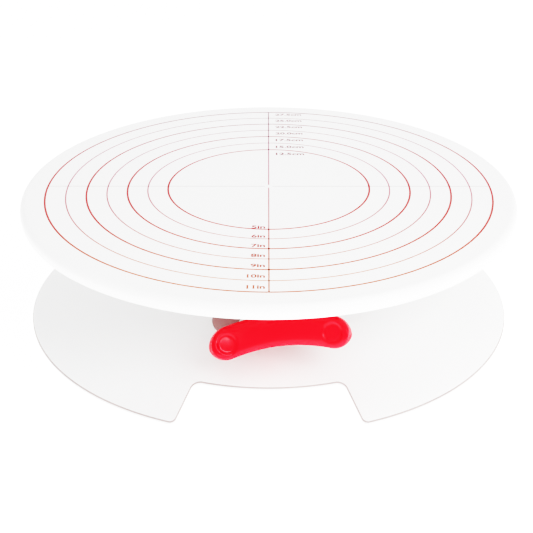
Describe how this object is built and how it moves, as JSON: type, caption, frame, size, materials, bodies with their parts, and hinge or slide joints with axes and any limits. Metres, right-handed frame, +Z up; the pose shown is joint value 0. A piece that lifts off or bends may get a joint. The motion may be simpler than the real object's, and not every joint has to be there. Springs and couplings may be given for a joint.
{
  "type": "cake turntable",
  "caption": "Round cake decorating plate that spins on a ball ring and tips left or right over a low conical base, with a red rocker at the front that locks the tilt.",
  "frame": {"origin": "on the floor under the middle of the base", "axes": "+Z up along the spin axis at rest, -Y towards the front with the notch and the red rocker, +X to the right seen from the front"},
  "size_m": [0.31, 0.31, 0.082],
  "materials": {
    "plate_white": "satin white, printed rings",
    "base_white": "satin white",
    "grey_plastic": "fine matt light grey",
    "red_plastic": "semi-gloss red",
    "black_acetal": "smooth matt black",
    "grey_rubber": "matt rubber",
    "steel": "zinc plated or ground"
  },
  "bodies": {
    "base": {"base_shell": "base_white", "pivot_tub": "base_white", "tub_screw_1": "steel", "tub_screw_2": "steel", "tub_screw_3": "steel", "tub_screw_4": "steel", "axle_cap_front": "grey_plastic", "axle_cap_rear": "grey_plastic", "front_cap_screw_1": "steel", "front_cap_screw_2": "steel", "rear_cap_screw_1": "steel", "rear_cap_screw_2": "steel", "rubber_foot_1": "grey_rubber", "rubber_foot_2": "grey_rubber", "rubber_foot_3": "grey_rubber", "rubber_foot_4": "grey_rubber", "rubber_foot_5": "grey_rubber", "rubber_foot_6": "grey_rubber", "rocker_back_plate": "grey_plastic", "back_plate_screw_1": "steel", "back_plate_screw_2": "steel", "lever_bushing": "black_acetal"},
    "tilt_head": {"tilt_head": "grey_plastic", "tilt_pin_front": "steel", "tilt_pin_rear": "steel", "lower_race": "steel"},
    "ball_ring": {"ball_cage": "black_acetal", "bearing_ball_1": "steel", "bearing_ball_2": "steel", "bearing_ball_3": "steel", "bearing_ball_4": "steel", "bearing_ball_5": "steel", "bearing_ball_6": "steel", "bearing_ball_7": "steel", "bearing_ball_8": "steel"},
    "turntable": {"turntable_plate": "plate_white", "turntable_hub": "grey_plastic", "hub_screw_1": "steel", "hub_screw_2": "steel", "hub_screw_3": "steel", "hub_screw_4": "steel", "centre_spindle": "steel", "spindle_washer": "steel", "spindle_nut": "steel", "upper_race": "steel"},
    "lock_lever": {"lock_lever": "red_plastic", "lever_shaft": "steel", "lock_cam": "black_acetal"},
    "brake": {"brake_yoke": "grey_plastic", "brake_pad_left": "grey_rubber", "brake_pad_right": "grey_rubber", "brake_return_spring": "steel"}
  },
  "joints": [
    {"name": "head_tilt", "type": "hinge", "parent": "base", "child": "tilt_head", "pos_m": [0, 0, 0.04], "axis": [0, 1, 0], "range_deg": [-24, 24]},
    {"name": "turntable_spin", "type": "hinge", "parent": "tilt_head", "child": "turntable", "pos_m": [0, 0, 0.07], "axis": [0, 0, 1], "continuous": true},
    {"name": "ball_ring_spin", "type": "hinge", "parent": "tilt_head", "child": "ball_ring", "pos_m": [0, 0, 0.07], "axis": [0, 0, 1], "continuous": true},
    {"name": "lock_lever_turn", "type": "hinge", "parent": "base", "child": "lock_lever", "pos_m": [0, -0.1, 0.04], "axis": [0, 1, 0], "range_deg": [0, 15]},
    {"name": "brake_slide", "type": "slide", "parent": "base", "child": "brake", "axis": [0, -1, 0], "range_m": [0, 0.001], "deforming": ["brake_return_spring"]}
  ],
  "couplings": [
    {"joint": "ball_ring_spin", "follows": "turntable_spin", "ratio": 0.5},
    {"joint": "brake_slide", "follows": "lock_lever_turn", "m_per_rad": 0.003819}
  ]
}
